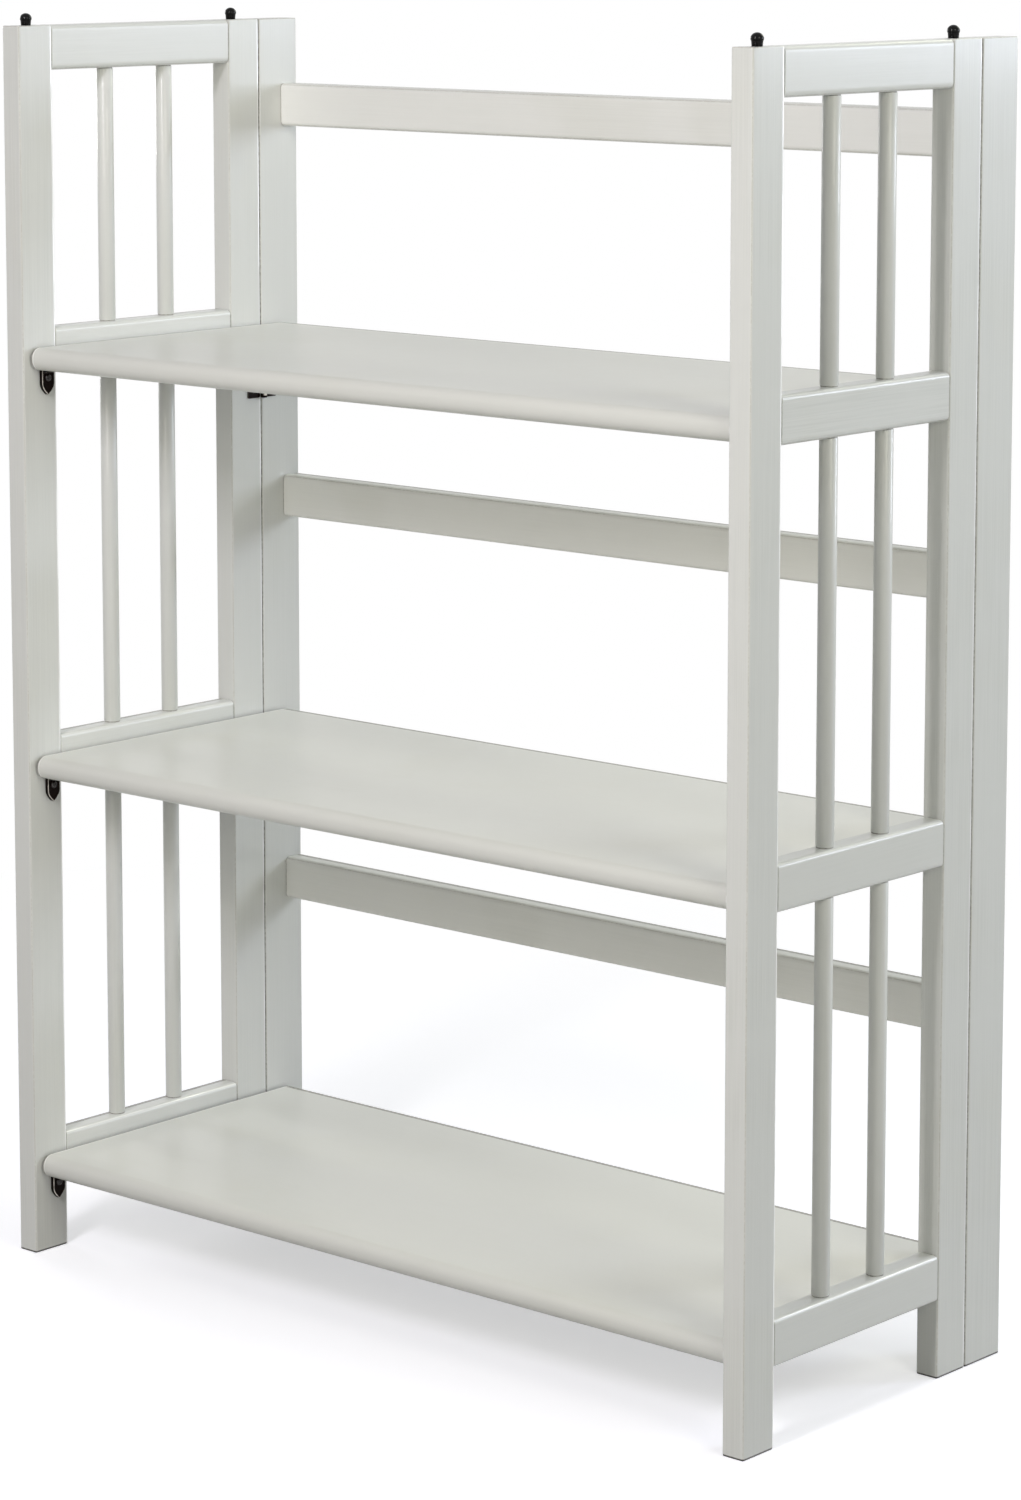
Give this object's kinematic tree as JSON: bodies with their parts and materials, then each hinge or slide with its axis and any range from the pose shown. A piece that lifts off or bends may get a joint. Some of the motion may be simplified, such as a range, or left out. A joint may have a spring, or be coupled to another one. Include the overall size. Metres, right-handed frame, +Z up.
{
  "type": "folding bookcase",
  "caption": "Open bookcase of slatted side panels hinged to a back frame, with shelves that swing up so that it folds flat, and pins on top for stacking.",
  "frame": {"origin": "on the floor, under the middle of the bookcase", "axes": "+X to the right, +Y to the back, +Z up; the open front faces -Y"},
  "size_m": [0.7, 0.292, 0.936],
  "materials": {
    "white_painted_wood": "satin white paint over fine vertical grain",
    "black_hardware": "semi-gloss black",
    "stacking_pin_plastic": "gloss black",
    "bright_steel": "bright turned steel"
  },
  "bodies": {
    "back_frame": {"left_lower_hinge_frame_leaf": "black_hardware", "left_lower_hinge_pin": "black_hardware", "left_lower_shelf_pivot": "bright_steel", "left_middle_shelf_pivot": "bright_steel", "left_stile": "white_painted_wood", "left_upper_hinge_frame_leaf": "black_hardware", "left_upper_hinge_pin": "black_hardware", "left_upper_shelf_pivot": "bright_steel", "lower_back_rail": "white_painted_wood", "middle_back_rail": "white_painted_wood", "right_lower_hinge_frame_leaf": "black_hardware", "right_lower_hinge_pin": "black_hardware", "right_lower_shelf_pivot": "bright_steel", "right_middle_shelf_pivot": "bright_steel", "right_stile": "white_painted_wood", "right_upper_hinge_frame_leaf": "black_hardware", "right_upper_hinge_pin": "black_hardware", "right_upper_shelf_pivot": "bright_steel", "upper_back_rail": "white_painted_wood"},
    "left_panel": {"left_front_post": "white_painted_wood", "left_front_stacking_pin": "stacking_pin_plastic", "left_lower_hinge_panel_leaf": "black_hardware", "left_lower_rail": "white_painted_wood", "left_lower_shelf_rest": "black_hardware", "left_lower_spindle_1": "white_painted_wood", "left_lower_spindle_2": "white_painted_wood", "left_middle_rail": "white_painted_wood", "left_middle_shelf_rest": "black_hardware", "left_middle_spindle_1": "white_painted_wood", "left_middle_spindle_2": "white_painted_wood", "left_rear_post": "white_painted_wood", "left_rear_stacking_pin": "stacking_pin_plastic", "left_top_rail": "white_painted_wood", "left_upper_hinge_panel_leaf": "black_hardware", "left_upper_rail": "white_painted_wood", "left_upper_shelf_rest": "black_hardware", "left_upper_spindle_1": "white_painted_wood", "left_upper_spindle_2": "white_painted_wood"},
    "right_panel": {"right_front_post": "white_painted_wood", "right_front_stacking_pin": "stacking_pin_plastic", "right_lower_hinge_panel_leaf": "black_hardware", "right_lower_rail": "white_painted_wood", "right_lower_shelf_rest": "black_hardware", "right_lower_spindle_1": "white_painted_wood", "right_lower_spindle_2": "white_painted_wood", "right_middle_rail": "white_painted_wood", "right_middle_shelf_rest": "black_hardware", "right_middle_spindle_1": "white_painted_wood", "right_middle_spindle_2": "white_painted_wood", "right_rear_post": "white_painted_wood", "right_rear_stacking_pin": "stacking_pin_plastic", "right_top_rail": "white_painted_wood", "right_upper_hinge_panel_leaf": "black_hardware", "right_upper_rail": "white_painted_wood", "right_upper_shelf_rest": "black_hardware", "right_upper_spindle_1": "white_painted_wood", "right_upper_spindle_2": "white_painted_wood"},
    "lower_shelf": {"lower_shelf": "white_painted_wood"},
    "middle_shelf": {"middle_shelf": "white_painted_wood"},
    "upper_shelf": {"upper_shelf": "white_painted_wood"}
  },
  "joints": [
    {"name": "lower_shelf_lift", "type": "hinge", "parent": "back_frame", "child": "lower_shelf", "pos_m": [0, 0.1185, 0.0665], "axis": [-1, 0, 0], "range_deg": [0, 90]},
    {"name": "middle_shelf_lift", "type": "hinge", "parent": "back_frame", "child": "middle_shelf", "pos_m": [0, 0.1185, 0.374], "axis": [-1, 0, 0], "range_deg": [0, 90]},
    {"name": "upper_shelf_lift", "type": "hinge", "parent": "back_frame", "child": "upper_shelf", "pos_m": [0, 0.1185, 0.6815], "axis": [-1, 0, 0], "range_deg": [0, 90]},
    {"name": "left_panel_fold", "type": "hinge", "parent": "back_frame", "child": "left_panel", "pos_m": [-0.3293, 0.10425, 0.4635], "axis": [0, 0, 1], "range_deg": [0, 0.3]},
    {"name": "right_panel_fold", "type": "hinge", "parent": "back_frame", "child": "right_panel", "pos_m": [0.3293, 0.10425, 0.4635], "axis": [0, 0, -1], "range_deg": [0, 0.3]}
  ]
}
